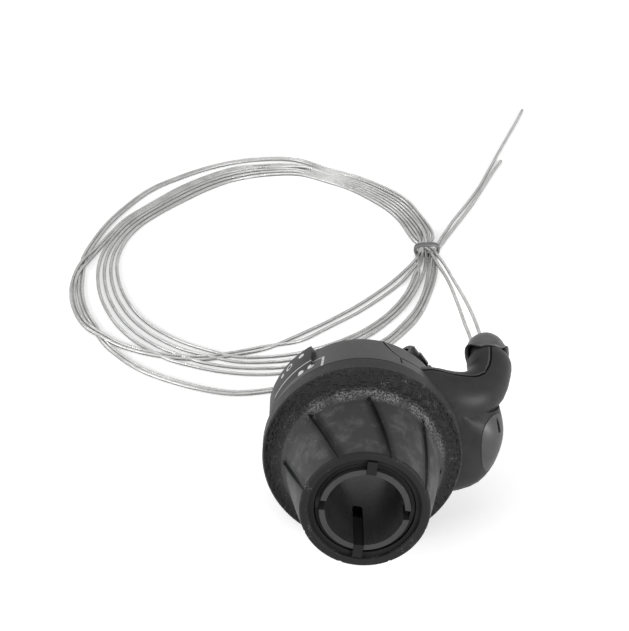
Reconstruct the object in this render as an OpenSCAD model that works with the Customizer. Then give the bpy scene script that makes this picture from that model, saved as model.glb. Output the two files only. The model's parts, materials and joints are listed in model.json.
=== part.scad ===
// Twist shifter for a hub with two cables, lying on a table with its cables coiled behind it.
// The inner modules use the shifter's own axes: Z runs along the handlebar towards the grip's end,
// Y is up and X points to the cable arm. Z = 0 is the plane of the grip's shoulder.

/* [Handlebar sleeve] */
// Radius of the hole for the handlebar
bore_r = 11.15; // [11:0.05:12.8]
// Wall of the fixed sleeve
sleeve_wall = 1.6; // [1.2:0.1:2.4]
// Width of the slots at the sleeve's end
slot_w = 2.9; // [2:0.1:4]
// Length of the three short slots
slot_short = 8; // [5:0.5:12]
// Length of the long slot
slot_long = 21; // [12:0.5:26]

/* [Grip] */
// Distance from the shoulder plane to the grip's end
grip_len = 31.4; // [28:0.2:60]
// Radius of the grip at its end
grip_end_r = 18.3; // [17.6:0.1:21]
// Radius of the grip just in front of the crest
grip_root_r = 22.4; // [20.5:0.1:25]
// Radius of the rounded crest
crest_r = 23.7; // [22.5:0.1:26]
// Number of finger grooves
groove_n = 8; // [5:1:12]
// Depth of a finger groove
groove_depth = 0.9; // [0.4:0.1:1.4]
// Twist of a finger groove from crest to end, in degrees
groove_twist = 20; // [0:1:30]

/* [Flange] */
// Radius of the flange's smooth band
flange_r = 29.2; // [28:0.1:35]
// Width of the smooth band
flange_w = 6.5; // [5:0.1:8]

/* [Housing] */
// Radius of the housing where it meets the flange
house_front_r = 28.6; // [28:0.1:34]
// Radius of the housing at its rear edge
house_rear_r = 26; // [25.6:0.1:30]
// Depth of the housing along the handlebar
house_len = 20; // [18:0.2:28]
// Wall of the housing
house_wall = 1.8; // [1.4:0.1:2.4]

/* [Cable arm] */
// Radius of the arm's round end
arm_r = 6.6; // [5.8:0.1:7.5]
// Angle by which the arm's end turns towards the handlebar
arm_turn = 4; // [0:1:20]
// Angle by which the arm's end rises from the handlebar's direction
arm_lift = 10; // [0:1:20]
// Length of the rubber boot
boot_len = 10.5; // [8:0.5:14]

/* [Drum and cables] */
// Radius of the cable's centre line on the drum
wind_r = 16; // [15.6:0.1:17]
// Radius of the drum's flanges
drum_r = 18.6; // [17.8:0.1:18.8]
// Thickness of a cable
cable_d = 1.2; // [1:0.1:1.6]
// Arc of a cable wound on the drum
wind_arc = 192; // [150:1:240]

/* [Clamp] */
// Wall of the clamp collar
collar_wall = 2.3; // [1.8:0.1:3]
// Width of the clamp collar
collar_w = 7; // [6:0.2:9]
// Radius of the clamp screw's shank
screw_r = 2; // [1.5:0.25:2.5]

/* [Hidden] */
$fn = 96;

// Clearances between pieces
turn_gap = 0.05;
seat_gap = 0.1;
face_gap = 0.3;
shut_line = 0.25;
eps = 0.01;

// Places along the handlebar axis, from the grip's end to the clamp
sleeve_r = bore_r + sleeve_wall;
band_rear = -5;
band_front = band_rear + flange_w;
core_rear = band_rear + 0.4;
core_flange = 3;
core_end = grip_len - 1.2;
core_r = sleeve_r + 3.2;
counter_r = sleeve_r + 1.45;
counter_depth = 3.2;
rim_in_r = core_r - 0.2;
house_front = band_rear - 0.6;
house_rear = house_front - house_len;
plate_t = 2;
wall_front = 1.8;
hub_r = drum_r - 0.2;
hub_rear = house_front - wall_front - 1.6;
drum_front = hub_rear - 0.2;
drum_w = 8.6;
drum_rear = drum_front - drum_w;
groove_a_z = drum_front - 2.2;
groove_b_z = drum_front - 6.2;
wave_t = 0.4;
wave_rise = 0.3;
wave_mid = drum_rear - 0.65;
washer_t = 0.6;
washer_front = drum_rear - 1.2;
seat_front = washer_front - washer_t - 0.05;
seat_t = 1.5;
collar_front = house_rear - 0.6;
collar_rear = collar_front - collar_w;
sleeve_rear = collar_rear - 0.8;

// Cable radius, groove and nipple sizes
cable_r = cable_d / 2;
groove_r = wind_r - cable_r - turn_gap;
nipple_r = 2;
nipple_len = 3.8;
dog_n = 3;
dog_in = sleeve_r + 0.6;
dog_out = groove_r - 0.55;
dog_len = 1.3;
dog_angle = 34;
dog_start = 45;

// Angles at which the two cables leave the drum
leave_a = -55;
leave_b = 84;

// Resting place: the flange's band and the housing's rear edge both touch the table
edge_round = 1.6;
rest_run = band_rear - house_rear - edge_round;
rest_tilt = atan((flange_r - house_rear_r) / rest_run);
axis_h = flange_r * cos(rest_tilt) - band_rear * sin(rest_tilt);
stand_x = 7.8;
stand_y = 3.7;

// Clamp ears and screw, seen along the handlebar
ear_angle = 35;
ear_reach = 25.8;
ear_half = 4.5;
ear_gap = 1.6;
screw_off = 21.8;
head_r = 3.5;
head_h = 3.6;
nut_r = 3.6;
nut_h = 3;
collar_r = sleeve_r + turn_gap + collar_wall;
collar_mid = (collar_front + collar_rear) / 2;

// Sections: centre, half axis down or to the outer side, half axis to the front or to the outside
// of the bend, and how full the outline is, where 1 is an ellipse
arm_z = -14.2;
arm_end = [38.6, 16.1, -27.4];
arm_x = [cos(arm_turn), 0, -sin(arm_turn)];
arm_y = [sin(arm_lift) * sin(arm_turn), cos(arm_lift), sin(arm_lift) * cos(arm_turn)];
arm_back = cross(arm_x, arm_y);
ARM = [
    [[12, 8, arm_z], [0, -13, 0], [0, 0, 6.8], [0.9, 0, 0]],
    [[21, 9.6, arm_z], [0.4, -11.4, 0], [0, 0, 7.4], [0.9, 0, 0]],
    [[28.4, 10.6, -14.4], [0.6, -8.6, 0], [0.8, 0, 7.6], [0.9, 0, 0]],
    [[33.6, 11.5, -16], [0.2, -7.4, 0], [3.8, 0, 6.3], [1, 0, 0]],
    [[37.1, 13, -19.4], [0, -7.2, 0], [5.9, 0, 3.4], [1, 0, 0]],
    [arm_end + 3.6 * arm_back, -arm_r * arm_y, arm_r * arm_x, [1, 0, 0]],
    [arm_end, -arm_r * arm_y, arm_r * arm_x, [1, 0, 0]]];
LOBE = [
    [[9, -1.2, arm_z], [0, -17.2, 0], [0, 0, 6.8], [0.8, 0, 0]],
    [[20.5, -1.6, arm_z], [1, -18.8, 0], [0, 0, 7.4], [0.8, 0, 0]],
    [[28.4, -0.6, arm_z], [4.8, -17.2, 0], [0, 0, 7.6], [0.8, 0, 0]],
    [[32, 1.4, arm_z], [6.8, -13.7, 0], [0, 0, 7.6], [0.8, 0, 0]],
    [[33.8, 4.4, arm_z], [8, -9.2, 0], [0, 0, 7.6], [0.8, 0, 0]],
    [[34.6, 6.8, -14.6], [8, -5, 0], [0, 0, 7.2], [0.85, 0, 0]],
    [[34.2, 9.4, -15.4], [7, -1.2, 0], [0, 0, 6.2], [1, 0, 0]]];
ARM_STEPS = 3;
ARM_SIDES = 28;
stop_r = arm_r - house_wall - face_gap;
stop_in = 2.2;
stop_lip = 1;
stop_neck = 5;
EXITS = [[-0.4, 0.8], [-3.2, -0.6]];
boot_r = 6.1;
boot_wall = 1.1;
boot_rim = 1.2;

// Seam between the shells, as X and Z
SEAM = [[5, -27], [6.4, -24.6], [8.4, -18], [11.6, -13.4], [16, -13], [21, -14], [26, -14.2],
    [31, -14], [34.6, -14.4], [37.2, -16.8], [38.8, -21], [39, -30]];
plate_r = house_rear_r - house_wall - 0.3;
BOSS = [[21.6, 115], [21.6, 180], [21.6, 240]];
boss_r = 2.5;
bulge_screw = [31, -8];

// Raised pad on the upper left
pad_angle = 122;
pad_span = 44;
pad_w = 15;
pad_rear = house_rear + edge_round;
pad_r = house_rear_r + 2.2;

// Side cover, a cap cut from the arm's bulge by a slanted plane
cover_at = [39.6, -1.6, -11.6];
cover_turn = 48;
cover_roll = -2;
cover_slot = [1.1, 4.6, 2.4];
cover_slot_at = [-0.6, 6.2, 1.8];

// Routes of the cables, in the shifter's own axes up to the boot
ROUTE_A_IN = [[18.4, -6.7, groove_a_z], [22, -4.2, -11.5], [28, 0, -12.2], [33.6, 5.6, -14.2],
    [37, 11.6, -17.6]];
ROUTE_B_IN = [[12.9, 14.7, groove_b_z], [17, 14.2, -15.6], [25, 13.4, -16.2], [31, 13.6, -18],
    [34.6, 14.2, -20.4]];

// Routes on the table, in the frame of the table
ROUTE_A = [[28.3, 50, 41.4], [27.1, 66, 37], [26.3, 84, 30], [25.9, 102, 22], [25.5, 120, 14.2],
    [24.7, 136, 7.8], [22.6, 150, 4.4]];
ROUTE_B = [[25.7, 50, 38.6], [25.2, 66, 34], [25, 84, 27.2], [24.9, 102, 19.8], [24.5, 120, 12.2],
    [23.3, 136, 6.2], [20.9, 150, 4.2]];
ROUTE_A_END = [[21.6, 155.6, 3.4], [26, 163, 2.7], [32, 176, 1.6], [38.4, 190, 0.9], [44, 203, 0.7],
    [49.6, 219, 0.7], [56.4, 238, 0.7], [63, 256, 0.7], [66.6, 266.6, 0.7]];
ROUTE_B_END = [[22.6, 154, 2.1], [27.4, 162, 1.5], [33.4, 174.6, 0.8], [39.6, 188, 0.7],
    [45.6, 203, 0.7], [50.4, 215, 0.7], [53.8, 222.6, 0.7]];

// Coil on the table: the turns lie in a flat band with two round ends, wider at the left and front
coil_at = [-43.5, 143];
coil_r = 65;
coil_straight = 26;
coil_hole_at = [-41, 150];
coil_hole_r = 54;
coil_hole_straight = 14;
coil_h = 3;
tie_w = 12;
tie_at = [19.2, 152];
tie_len = 2.6;
tie_wall = 0.8;

// Points of an arc
function arc(c, r, a0, a1, n) =
    [for (i = [0 : n]) let (a = a0 + (a1 - a0) * i / n) c + r * [cos(a), sin(a)]];

// Smooth curve through a list of points or sections, with n steps between neighbours
function blend4(a, b, c, d, t) =
    0.5 * (2 * b + (c - a) * t + (2 * a - 5 * b + 4 * c - d) * t * t + (3 * b - a - 3 * c + d) * t * t * t);
function smooth(p, n) = [
    for (i = [0 : len(p) - 2], k = [0 : n - 1])
        blend4(p[max(i - 1, 0)], p[i], p[i + 1], p[min(i + 2, len(p) - 1)], k / n),
    p[len(p) - 1]];

function unit(v) = v / norm(v);

// Rings of a closed tube, joined by triangles, with flat ends
module skin(rings) {
    n = len(rings[0]);
    m = len(rings);
    sides = [
        for (i = [0 : m - 2], k = [0 : n - 1]) let (a = i * n + k, b = i * n + (k + 1) % n)
            each [[a, b, b + n], [a, b + n, a + n]]];
    ends = [[for (k = [n - 1 : -1 : 0]) k], [for (k = [0 : n - 1]) (m - 1) * n + k]];
    polyhedron([for (r = rings) each r], concat(sides, ends), convexity = 8);
}

function full(x, power) = sign(x) * pow(abs(x), power);
function section_ring(s, n) =
    [for (k = [0 : n - 1]) s[0] + s[1] * full(cos(360 * k / n), s[3][0]) + s[2] * full(sin(360 * k / n), s[3][0])];

// Section of the arm made smaller by a wall
function inset(s, wall) =
    [s[0], s[1] * (1 - wall / norm(s[1])), s[2] * (1 - wall / norm(s[2])), s[3]];

// Round tube along a route
module tube(route, r, ref, steps = 2, sides = 8) {
    p = smooth(route, steps);
    last = len(p) - 1;
    rings = [
        for (i = [0 : last])
            let (t = unit(p[min(i + 1, last)] - p[max(i - 1, 0)]), u = unit(cross(ref, t)), v = cross(u, t))
            section_ring([p[i], u * r, v * r, [1, 0, 0]], sides)];
    skin(rings);
}

// Puts a piece from the shifter's axes onto the table
module placed() {
    translate([-stand_x, -stand_y, axis_h]) rotate([90 - rest_tilt, 0, 0]) children();
}
function on_table(p) = let (c = cos(rest_tilt), s = sin(rest_tilt))
    [p[0] - stand_x, p[1] * s - p[2] * c - stand_y, axis_h + p[1] * c + p[2] * s];

// Ring around the handlebar axis from z0 up to z1
module ring(r_out, r_in, z0, z1) {
    translate([0, 0, z0]) difference() {
        cylinder(r = r_out, h = z1 - z0);
        translate([0, 0, -eps]) cylinder(r = r_in, h = z1 - z0 + 2 * eps);
    }
}

// Puts a piece on the axis of the arm's end, with Z pointing back into the arm
module at_arm_end() {
    translate(arm_end) rotate([arm_lift, arm_turn, 0]) children();
}
function arm_point(x, y, z) = arm_end + x * arm_x + y * arm_y + z * arm_back;

module handlebar_sleeve() {
    slot_turn = -8;
    color([0.28, 0.28, 0.29]) placed() difference() {
        union() {
            translate([0, 0, sleeve_rear]) cylinder(r = sleeve_r, h = grip_len - sleeve_rear);
            translate([0, 0, seat_front - seat_t]) cylinder(r = sleeve_r + 4, h = seat_t);
        }
        translate([0, 0, sleeve_rear - 1]) cylinder(r = bore_r, h = grip_len - sleeve_rear + 2);
        for (i = [0 : 3]) rotate([0, 0, slot_turn + 90 * i]) {
            reach = i == 3 ? slot_long : slot_short;
            translate([0, -slot_w / 2, grip_len - reach + slot_w / 2])
                cube([sleeve_r + 1, slot_w, reach]);
            translate([0, 0, grip_len - reach + slot_w / 2]) rotate([0, 90, 0])
                cylinder(d = slot_w, h = sleeve_r + 1);
            rotate([0, 0, 45]) translate([0, -0.75, sleeve_rear - 1])
                cube([sleeve_r + 1, 1.5, collar_w + 1.8]);
        }
    }
}

module retaining_ring() {
    tab_w = slot_w - 0.2;
    ring_z = core_end - 1.4;
    color([0.3, 0.3, 0.31]) placed() {
        ring(counter_r - face_gap, sleeve_r + turn_gap, ring_z, ring_z + 1);
        for (i = [1, 3]) rotate([0, 0, -8 + 90 * i]) {
            tail = i == 3 ? 15 : grip_len - ring_z;
            translate([bore_r + 0.15, -tab_w / 2, grip_len - tail])
                cube([sleeve_wall - 0.3, tab_w, tail]);
            translate([sleeve_r - 0.4, -tab_w / 2, ring_z]) cube([1.45, tab_w, grip_len - ring_z]);
            translate([sleeve_r, -tab_w / 2, core_end + face_gap])
                cube([rim_in_r - 0.4 - sleeve_r, tab_w, grip_len - core_end - face_gap]);
        }
    }
}

module grip_core() {
    color([0.16, 0.16, 0.17]) placed() difference() {
        union() {
            translate([0, 0, hub_rear]) cylinder(r = core_r, h = core_end - hub_rear);
            translate([0, 0, hub_rear]) cylinder(r = hub_r, h = core_rear - hub_rear + eps);
            translate([0, 0, core_rear]) cylinder(r = flange_r - 2, h = core_flange);
            for (i = [0 : dog_n - 1]) rotate([0, 0, dog_start + 360 * i / dog_n]) dog(0);
        }
        translate([0, 0, hub_rear - dog_len - 1])
            cylinder(r = sleeve_r + turn_gap, h = core_end - hub_rear + dog_len + 2);
        translate([0, 0, core_end - counter_depth]) cylinder(r = counter_r, h = counter_depth + 1);
    }
}

// One driving dog between core and drum, grown by a clearance
module dog(gap) {
    rotate([0, 0, -dog_angle / 2 - gap * 4]) translate([0, 0, hub_rear - dog_len - gap])
        rotate_extrude(angle = dog_angle + gap * 8)
            translate([dog_in - gap, 0]) square([dog_out - dog_in + 2 * gap, dog_len + gap + eps]);
}

module grip_rubber() {
    back = core_rear + core_flange;
    barrel_z = 7.4;
    bow = 0.5;
    barrel = [for (i = [0 : 6]) let (t = i / 6)
        [grip_root_r + (grip_end_r - grip_root_r) * t + bow * sin(180 * t) * 0.5,
            barrel_z + (grip_len - 0.9 - barrel_z) * t]];
    shoulder = smooth([[flange_r - 0.5, band_front], [flange_r - 1.9, band_front + 0.05],
        [flange_r - 3.4, band_front + 0.5], [crest_r + 1.2, band_front + 1.5],
        [crest_r + 0.4, band_front + 2.7], [crest_r - 0.2, band_front + 4],
        [grip_root_r, barrel_z]], 2);
    edge = [[flange_r - 2, band_rear], [flange_r - 0.5, band_rear], [flange_r, band_rear + 0.5],
        [flange_r, band_front - 0.6]];
    rim = concat(arc([grip_end_r - 0.9, grip_len - 0.9], 0.9, 0, 90, 4), [[rim_in_r + 0.3, grip_len],
        [rim_in_r, grip_len - 0.3], [rim_in_r, core_end], [core_r, core_end]]);
    color([0.12, 0.12, 0.13]) placed() difference() {
        rotate_extrude() polygon(concat(edge, shoulder,
            [for (i = [1 : 5]) barrel[i]], rim, [[core_r, back], [flange_r - 2, back]]));
        grooves(barrel_z - 1.2);
    }
}

// Finger grooves, all in one twisted cutter that narrows with the barrel
module grooves(z0) {
    h = grip_len + 1 - z0;
    mid_r = grip_root_r + 0.9 - groove_depth;
    turn_at_crest = 87;
    translate([0, 0, z0]) rotate([0, 0, turn_at_crest])
        linear_extrude(h, twist = groove_twist, slices = 8, scale = grip_end_r / grip_root_r, $fn = 6)
            for (i = [0 : groove_n - 1]) rotate([0, 0, 360 * i / groove_n])
                translate([mid_r, 0]) rotate(30) circle(r = 0.95, $fn = 6);
}

module cable_drum() {
    color([0.45, 0.45, 0.46]) placed() difference() {
        translate([0, 0, drum_rear]) cylinder(r = drum_r, h = drum_w);
        translate([0, 0, drum_rear - 1]) cylinder(r = sleeve_r + turn_gap, h = drum_w + 2);
        for (z = [groove_a_z, groove_b_z]) {
            ring(drum_r + 1, groove_r, z - cable_r - seat_gap, z + cable_r + seat_gap);
        }
        for (i = [0 : dog_n - 1]) rotate([0, 0, dog_start + 360 * i / dog_n]) dog(seat_gap);
        nipple_place(leave_a - wind_arc - 8) translate([0, 0, drum_front - nipple_len - 0.4])
            cylinder(r = nipple_r + turn_gap, h = nipple_len + 1);
        nipple_place(leave_b + wind_arc + 8) translate([0, 0, drum_rear - 0.6])
            cylinder(r = nipple_r + turn_gap, h = nipple_len + 1);
    }
}

module nipple_place(angle) {
    rotate([0, 0, angle]) translate([wind_r, 0, 0]) children();
}

module cable_nipple_a() {
    color("silver") placed() nipple_place(leave_a - wind_arc - 8)
        translate([0, 0, drum_front - nipple_len - 0.3]) cylinder(r = nipple_r, h = nipple_len);
}

module cable_nipple_b() {
    color("silver") placed() nipple_place(leave_b + wind_arc + 8)
        translate([0, 0, drum_rear + 0.3]) cylinder(r = nipple_r, h = nipple_len);
}

// Cable lying in a groove of the drum
module wrap(z, from) {
    rotate([0, 0, from]) translate([0, 0, z]) rotate_extrude(angle = wind_arc)
        translate([wind_r, 0]) circle(r = cable_r, $fn = 24);
}

module cable_wrap_a() {
    color([0.75, 0.75, 0.74]) placed() wrap(groove_a_z, leave_a - wind_arc);
}

module cable_wrap_b() {
    color([0.75, 0.75, 0.74]) placed() wrap(groove_b_z, leave_b);
}

// Outside of the round housing, with a rounded rear edge
module house_outside(shrink) {
    front = house_front;
    rear = house_rear + shrink;
    r0 = house_front_r - shrink;
    r1 = house_rear_r - shrink;
    rotate_extrude() polygon(concat([[0, rear]],
        arc([r1 - edge_round, rear + edge_round], edge_round, -90, 0, 4),
        [[r0, front - 0.6], [r0 - 0.5, front], [0, front]]));
}

// Smooth skin through sections, made smaller by a wall
module form(sections, wall) {
    skin([for (s = smooth(sections, ARM_STEPS)) section_ring(inset(s, wall), ARM_SIDES)]);
}

module arm_outside() {
    form(ARM, 0);
    form(LOBE, 0);
}

module arm_inside() {
    n = len(ARM) - 1;
    past = [for (i = [0 : n]) i < n ? ARM[i] : [arm_point(0, 0, -1), ARM[n][1], ARM[n][2], ARM[n][3]]];
    form(past, house_wall);
    form(LOBE, house_wall);
}

// Low raised pad for the marks on the upper left
module marker_pad() {
    rotate([0, 0, pad_angle]) rotate_extrude(angle = pad_span)
        polygon([[house_rear_r - 1, pad_rear], [pad_r, pad_rear], [pad_r, pad_rear + pad_w - 3],
            [house_front_r - 1, pad_rear + pad_w]]);
}

module housing_form() {
    house_outside(0);
    marker_pad();
    arm_outside();
}

module housing_hollow() {
    r0 = house_front_r - house_wall;
    r1 = house_rear_r - house_wall;
    rotate_extrude() polygon([[0, house_rear - 1], [r1, house_rear - 1], [r1, house_rear + edge_round],
        [r0, house_front - wall_front], [hub_r + 0.8, house_front - wall_front],
        [hub_r + 0.8, house_front + 1], [0, house_front + 1]]);
    arm_inside();
}

// Everything behind the seam; a gap moves the seam away from the grip
module behind_seam(gap) {
    line = smooth(SEAM, 3);
    low = -60;
    rotate([90, 0, 0]) linear_extrude(120, center = true)
        polygon(concat([for (p = line) p - [0, gap]], [[line[len(line) - 1][0], low], [line[0][0], low]]));
}

// Flat cut that takes the cap for the side cover off the bulge
module cover_cut(gap) {
    translate(cover_at) rotate([0, cover_turn, cover_roll]) translate([0, 0, gap])
        translate([-20, -20, 0]) cube([40, 40, 20]);
}

module front_shell() {
    color([0.27, 0.27, 0.28]) placed() {
        difference() {
            housing_form();
            housing_hollow();
            behind_seam(-shut_line);
            cover_cut(0);
        }
        for (b = BOSS) rotate([0, 0, b[1]]) translate([b[0], 0, 0])
            ring(boss_r, 1.1, house_rear + plate_t + seat_gap, house_front - wall_front + eps);
    }
}

module rear_shell() {
    color([0.25, 0.25, 0.26]) placed() {
        difference() {
            union() {
                intersection() {
                    difference() {
                        housing_form();
                        housing_hollow();
                    }
                    behind_seam(0);
                }
                translate([0, 0, house_rear]) cylinder(r = plate_r, h = plate_t);
                intersection() {
                    translate([0, 0, house_rear]) cylinder(r = house_rear_r - edge_round, h = plate_t);
                    behind_seam(0);
                }
                translate([0, 0, house_rear]) cylinder(r = sleeve_r + 4, h = seat_front - seat_t - house_rear);
            }
            cover_cut(0);
            translate([0, 0, house_rear - 1]) cylinder(r = sleeve_r + turn_gap, h = house_len);
            for (b = BOSS) rotate([0, 0, b[1]]) translate([b[0], 0, house_rear - 1])
                cylinder(r = 1.3, h = 4);
        }
    }
}

module side_cover() {
    color([0.36, 0.36, 0.37]) placed() intersection() {
        arm_outside();
        difference() {
            cover_cut(seat_gap);
            translate(cover_at) rotate([0, cover_turn, cover_roll])
                translate(cover_slot_at) cube(cover_slot, center = true);
        }
    }
}

module thrust_washer() {
    color("silver") placed()
        ring(sleeve_r + 3.6, sleeve_r + seat_gap, washer_front - washer_t, washer_front);
}

// Washer with three waves, made as a closed band
module wave_washer() {
    n = 48;
    r_in = sleeve_r + 0.3;
    r_out = sleeve_r + 3;
    function lift(a) = wave_mid + wave_rise / 2 * cos(3 * a) - wave_t / 2;
    rings = [for (i = [0 : n - 1]) let (a = 360 * i / n, d = [cos(a), sin(a), 0], z = [0, 0, lift(a)])
        [d * r_in + z, d * r_out + z, d * r_out + z + [0, 0, wave_t], d * r_in + z + [0, 0, wave_t]]];
    faces = [for (i = [0 : n - 1], k = [0 : 3])
        let (a = i * 4 + k, b = i * 4 + (k + 1) % 4, c = ((i + 1) % n) * 4 + (k + 1) % 4, d = ((i + 1) % n) * 4 + k)
        each [[a, c, d], [a, b, c]]];
    color([0.7, 0.7, 0.7]) placed() polyhedron([for (r = rings) each r], faces, convexity = 6);
}

// Along the clamp screw: Z runs from the nut to the head
module on_screw() {
    rotate([0, 0, ear_angle]) translate([screw_off, 0, collar_mid]) rotate([-90, 0, 0]) children();
}

module clamp_collar() {
    root = sleeve_r + 1 - screw_off;
    end_r = collar_w / 2 - 0.3;
    color([0.2, 0.2, 0.21]) placed() difference() {
        union() {
            translate([0, 0, collar_rear]) cylinder(r = collar_r, h = collar_w);
            on_screw() translate([0, 0, -ear_half]) linear_extrude(2 * ear_half)
                polygon(concat([[root, -end_r]], arc([ear_reach - screw_off - end_r, 0], end_r, -90, 90, 12),
                    [[root, end_r]]));
        }
        translate([0, 0, collar_rear - 1]) cylinder(r = sleeve_r + turn_gap, h = collar_w + 2);
        rotate([0, 0, ear_angle]) translate([0, -ear_gap / 2, collar_rear - 1])
            cube([ear_reach + 1, ear_gap, collar_w + 2]);
        on_screw() translate([0, 0, -ear_half - 1]) cylinder(r = screw_r + seat_gap, h = 2 * ear_half + 2);
    }
}

module clamp_screw() {
    socket_r = 1.7;
    color([0.1, 0.1, 0.1]) placed() on_screw() difference() {
        union() {
            translate([0, 0, -ear_half - nut_h - 0.8]) cylinder(r = screw_r, h = 2 * ear_half + nut_h + 0.8 + eps);
            translate([0, 0, ear_half]) cylinder(r = head_r, h = head_h - 0.6);
            translate([0, 0, ear_half + head_h - 0.6]) rotate_extrude()
                polygon([[0, 0], [head_r, 0], [head_r - 0.6, 0.6], [0, 0.6]]);
        }
        translate([0, 0, ear_half + head_h - 2.2]) cylinder(r = socket_r, h = 3, $fn = 6);
    }
}

module clamp_nut() {
    color("silver") placed() on_screw() translate([0, 0, -ear_half - nut_h]) difference() {
        cylinder(r = nut_r, h = nut_h, $fn = 6);
        translate([0, 0, -1]) cylinder(r = screw_r + turn_gap, h = nut_h + 2);
    }
}

module housing_screws() {
    color([0.3, 0.3, 0.3]) placed() for (b = BOSS) rotate([0, 0, b[1]]) translate([b[0], 0, house_rear])
        difference() {
            union() {
                translate([0, 0, -1.4]) cylinder(r = 2.1, h = 1.4);
                translate([0, 0, -eps]) cylinder(r = 1, h = 9);
            }
            translate([0, 0, -1.9]) cube([3, 0.6, 1.6], center = true);
            translate([0, 0, -1.9]) cube([0.6, 3, 1.6], center = true);
        }
}

module cable_stop() {
    color([0.1, 0.1, 0.1]) placed() at_arm_end() difference() {
        union() {
            translate([0, 0, -stop_lip]) cylinder(r = stop_r, h = stop_in + stop_lip);
            translate([0, 0, -stop_lip]) cylinder(r = arm_r - 1, h = stop_lip);
            translate([0, 0, -stop_lip - stop_neck]) cylinder(r = boot_r - boot_wall - seat_gap, h = stop_neck + eps);
        }
        for (e = EXITS) translate([e[0], e[1], -stop_lip - stop_neck - 1])
            cylinder(r = cable_r + seat_gap, h = stop_in + stop_lip + stop_neck + 2);
    }
}

module cable_boot() {
    rim = -stop_lip - seat_gap;
    tip = rim - boot_len;
    dome = 5;
    inner = boot_r - boot_wall;
    scallop_r = 3.6;
    color([0.4, 0.4, 0.41]) placed() at_arm_end() difference() {
        rotate_extrude() polygon(concat([[0, tip]],
            [for (i = [0 : 6]) let (a = 15 * i) [1.6 + (boot_r - 1.6) * sin(a), tip + dome * (1 - cos(a))]],
            [[boot_r, rim - 2], [boot_r + 0.3, rim - 0.6], [boot_r + 0.2, rim], [0, rim]]));
        translate([0, 0, -stop_lip - stop_neck - seat_gap]) cylinder(r = inner, h = stop_neck + 3);
        for (a = [35, 145, 270]) rotate([0, 0, a]) translate([0, 0, rim + 2.2]) rotate([0, 90, 0])
            cylinder(r = scallop_r, h = boot_r + 2);
        for (e = EXITS) translate([e[0], e[1], tip - 1])
            cylinder(r = cable_r + turn_gap, h = boot_len);
    }
}

// Points where the two cables pass through the stop and leave the boot
tip_z = -stop_lip - seat_gap - boot_len;
function exit_point(i, z) = arm_point(EXITS[i][0], EXITS[i][1], z);
inner_a = concat(ROUTE_A_IN, [for (z = [stop_in + 0.6, tip_z + 3]) exit_point(0, z)]);
inner_b = concat(ROUTE_B_IN, [for (z = [stop_in + 0.6, tip_z + 3]) exit_point(1, z)]);
lead_a = concat([for (z = [tip_z + 2.7, tip_z, tip_z - 3]) on_table(exit_point(0, z))], ROUTE_A);
lead_b = concat([for (z = [tip_z + 2.7, tip_z, tip_z - 3]) on_table(exit_point(1, z))], ROUTE_B);

module cable_a_inner() {
    color([0.75, 0.75, 0.74]) placed() tube(inner_a, cable_r, [0, 1, 0], 1);
}

module cable_b_inner() {
    color([0.75, 0.75, 0.74]) placed() tube(inner_b, cable_r, [0, 1, 0], 1);
}

module cable_a_lead() {
    color([0.75, 0.75, 0.74]) tube(lead_a, cable_r, [0, 0, 1]);
}

module cable_b_lead() {
    color([0.75, 0.75, 0.74]) tube(lead_b, cable_r, [0, 0, 1]);
}

module cable_a_end() {
    color([0.75, 0.75, 0.74]) tube(ROUTE_A_END, cable_r, [0, 0, 1], 1);
}

module cable_b_end() {
    color([0.75, 0.75, 0.74]) tube(ROUTE_B_END, cable_r, [0, 0, 1], 1);
}

// Flat outline with two round ends
module stadium(r, straight) {
    for (side = [-1, 1]) translate([0, side * straight / 2]) circle(r = r);
    square([2 * r, straight], center = true);
}

module cable_coil() {
    color([0.72, 0.72, 0.71]) linear_extrude(coil_h) difference() {
        translate(coil_at) stadium(coil_r, coil_straight);
        translate(coil_hole_at) stadium(coil_hole_r, coil_hole_straight);
    }
}

module coil_tie() {
    w = tie_w;
    h = coil_h + tie_wall + 1.2;
    color([0.15, 0.15, 0.15]) translate([tie_at[0], tie_at[1], h / 2]) rotate([90, 0, 0])
        linear_extrude(tie_len, center = true) difference() {
            square([w, h], center = true);
            square([w - 2 * tie_wall, h - 2 * tie_wall], center = true);
        }
}

handlebar_sleeve();
retaining_ring();
grip_core();
grip_rubber();
cable_drum();
cable_nipple_a();
cable_nipple_b();
cable_wrap_a();
cable_wrap_b();
front_shell();
rear_shell();
side_cover();
thrust_washer();
wave_washer();
clamp_collar();
clamp_screw();
clamp_nut();
housing_screws();
cable_stop();
cable_boot();
cable_a_inner();
cable_b_inner();
cable_a_lead();
cable_b_lead();
cable_coil();
coil_tie();
cable_a_end();
cable_b_end();
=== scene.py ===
"""Twist shifter with two steel cables coiled behind it, laid out as a Blender add-on.

Settings are metres, and points and sizes in the functions are millimetres, in the shifter's own frame:
X to the right, Y away from the viewer, Z up from the table.
"""
import json
from math import cos, pi, radians, sin

import bpy
import numpy as np
from bpy.props import FloatProperty, FloatVectorProperty, IntProperty, PointerProperty
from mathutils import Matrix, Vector
from mathutils.kdtree import KDTree


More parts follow.
